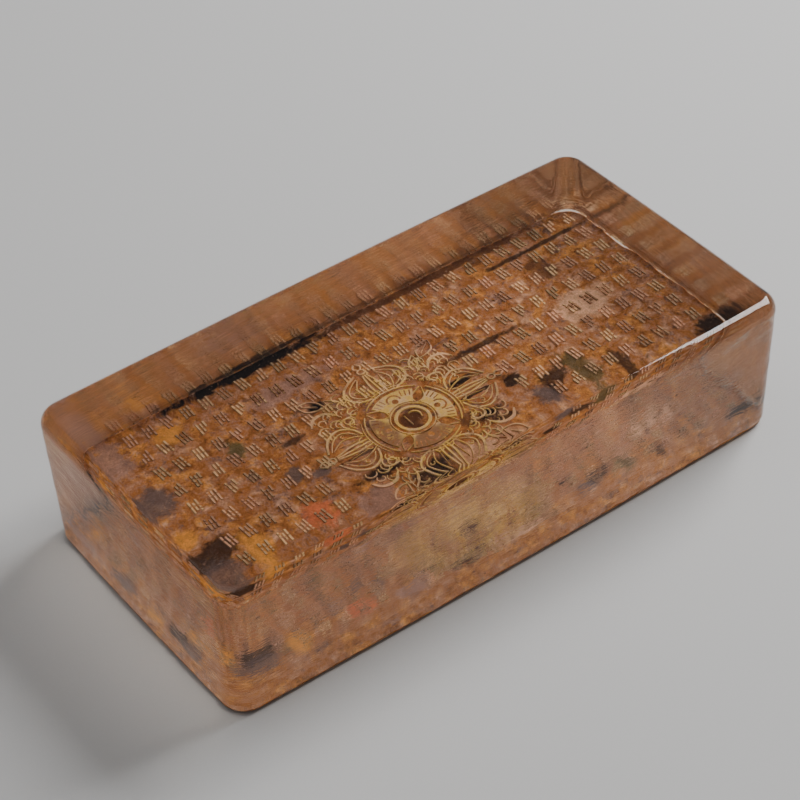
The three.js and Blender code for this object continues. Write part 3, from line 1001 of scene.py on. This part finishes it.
class TILE_OT_stage(bpy.types.Operator):
    """Build the floor, the lamps and the camera"""

    bl_idname = "tile.stage"
    bl_label = "Stage"

    def execute(self, context):
        look = context.scene.tile_stage
        self.floor(look)
        self.room(look)
        self.lamp("key_lamp", (0.975, 0.065, 0.858), 0.72, look.key)
        self.lamp("fill_lamp", (-0.35, 0.25, 1.35), 1.2, look.fill)
        self.camera()
        return {"FINISHED"}

    def floor(self, look):
        side = 3.0
        mesh = bpy.data.meshes.new("floor")
        mesh.from_pydata([(-side, -side, 0), (side, -side, 0), (side, side, 0), (-side, side, 0)], [], [(0, 1, 2, 3)])
        obj = bpy.data.objects.new("floor", mesh)
        nodes = Nodes("pale_floor")
        nodes.shader.inputs["Roughness"].default_value = 0.8
        grain = nodes.noise(nodes.place(), 0.8, detail=2)
        paler = tuple(min(1.0, c * 1.04) for c in look.floor)
        nodes.put(nodes.shader.inputs["Base Color"], nodes.mix(grain, tuple(look.floor), paler))
        mesh.materials.append(nodes.material)
        bpy.context.scene.collection.objects.link(obj)

    def room(self, look):
        world = bpy.data.worlds.new("room")
        world.use_nodes = True
        world.node_tree.nodes["Background"].inputs["Color"].default_value = (0.93, 0.96, 1.0, 1.0)
        world.node_tree.nodes["Background"].inputs["Strength"].default_value = look.world
        bpy.context.scene.world = world

    def lamp(self, name, place, size, power):
        data = bpy.data.lights.new(name, "AREA")
        data.shape = "SQUARE"
        data.size = size
        data.energy = power
        obj = bpy.data.objects.new(name, data)
        obj.location = place
        obj.rotation_mode = "QUATERNION"
        obj.rotation_quaternion = (Vector((0, 0, 0.02)) - Vector(place)).to_track_quat("-Z", "Y")
        bpy.context.scene.collection.objects.link(obj)

    def camera(self):
        turn, lift = math.radians(CAMERA_AZIMUTH), math.radians(CAMERA_HEIGHT_ANGLE)
        back = Vector((math.sin(turn) * math.cos(lift), -math.cos(turn) * math.cos(lift), math.sin(lift)))
        side = (-back).cross(Vector((0, 0, 1))).normalized()
        up = side.cross(-back)
        basis = Matrix((side, up, back)).transposed() @ Matrix.Rotation(math.radians(CAMERA_ROLL), 3, "Z")
        data = bpy.data.cameras.new("camera")
        data.sensor_width = 36.0
        data.lens = CAMERA_LENS
        obj = bpy.data.objects.new("camera", data)
        obj.matrix_world = Matrix.Translation(Vector(CAMERA_TARGET) + back * CAMERA_DISTANCE) @ basis.to_4x4()
        bpy.context.scene.collection.objects.link(obj)
        bpy.context.scene.camera = obj


class TILE_PT_panel(bpy.types.Panel):
    """Sizes, colours and build steps of the glass tile"""

    bl_idname = "TILE_PT_panel"
    bl_label = "Glass tile"
    bl_space_type = "VIEW_3D"
    bl_region_type = "UI"
    bl_category = "Glass Tile"

    def draw(self, context):
        layout = self.layout
        for operator, names in PANEL_ROWS:
            box = layout.box()
            box.operator(operator)
            for name in names:
                group = getattr(context.scene, name)
                for prop in group.__annotations__:
                    box.prop(group, prop)


GROUPS = {
    "tile_block": BlockSizes,
    "tile_engraving": EngravingSizes,
    "tile_crust": CrustLook,
    "tile_gilt": GiltLook,
    "tile_glass": GlassLook,
    "tile_stage": StageLook,
}
OPERATORS = (TILE_OT_glass_block, TILE_OT_burial_crust, TILE_OT_gilt_lines, TILE_OT_stage)
PANEL_ROWS = (
    ("tile.glass_block", ("tile_block", "tile_glass")),
    ("tile.burial_crust", ("tile_crust",)),
    ("tile.gilt_lines", ("tile_engraving", "tile_gilt")),
    ("tile.stage", ("tile_stage",)),
)


def register():
    for cls in (*GROUPS.values(), *OPERATORS, TILE_PT_panel):
        bpy.utils.register_class(cls)
    for name, group in GROUPS.items():
        setattr(bpy.types.Scene, name, bpy.props.PointerProperty(type=group))


def unregister():
    for name in GROUPS:
        delattr(bpy.types.Scene, name)
    for cls in reversed((*GROUPS.values(), *OPERATORS, TILE_PT_panel)):
        bpy.utils.unregister_class(cls)


def main():
    register()
    bpy.ops.tile.glass_block()
    bpy.ops.tile.burial_crust()
    bpy.ops.tile.gilt_lines()
    bpy.ops.tile.stage()


if __name__ == "__main__":
    main()
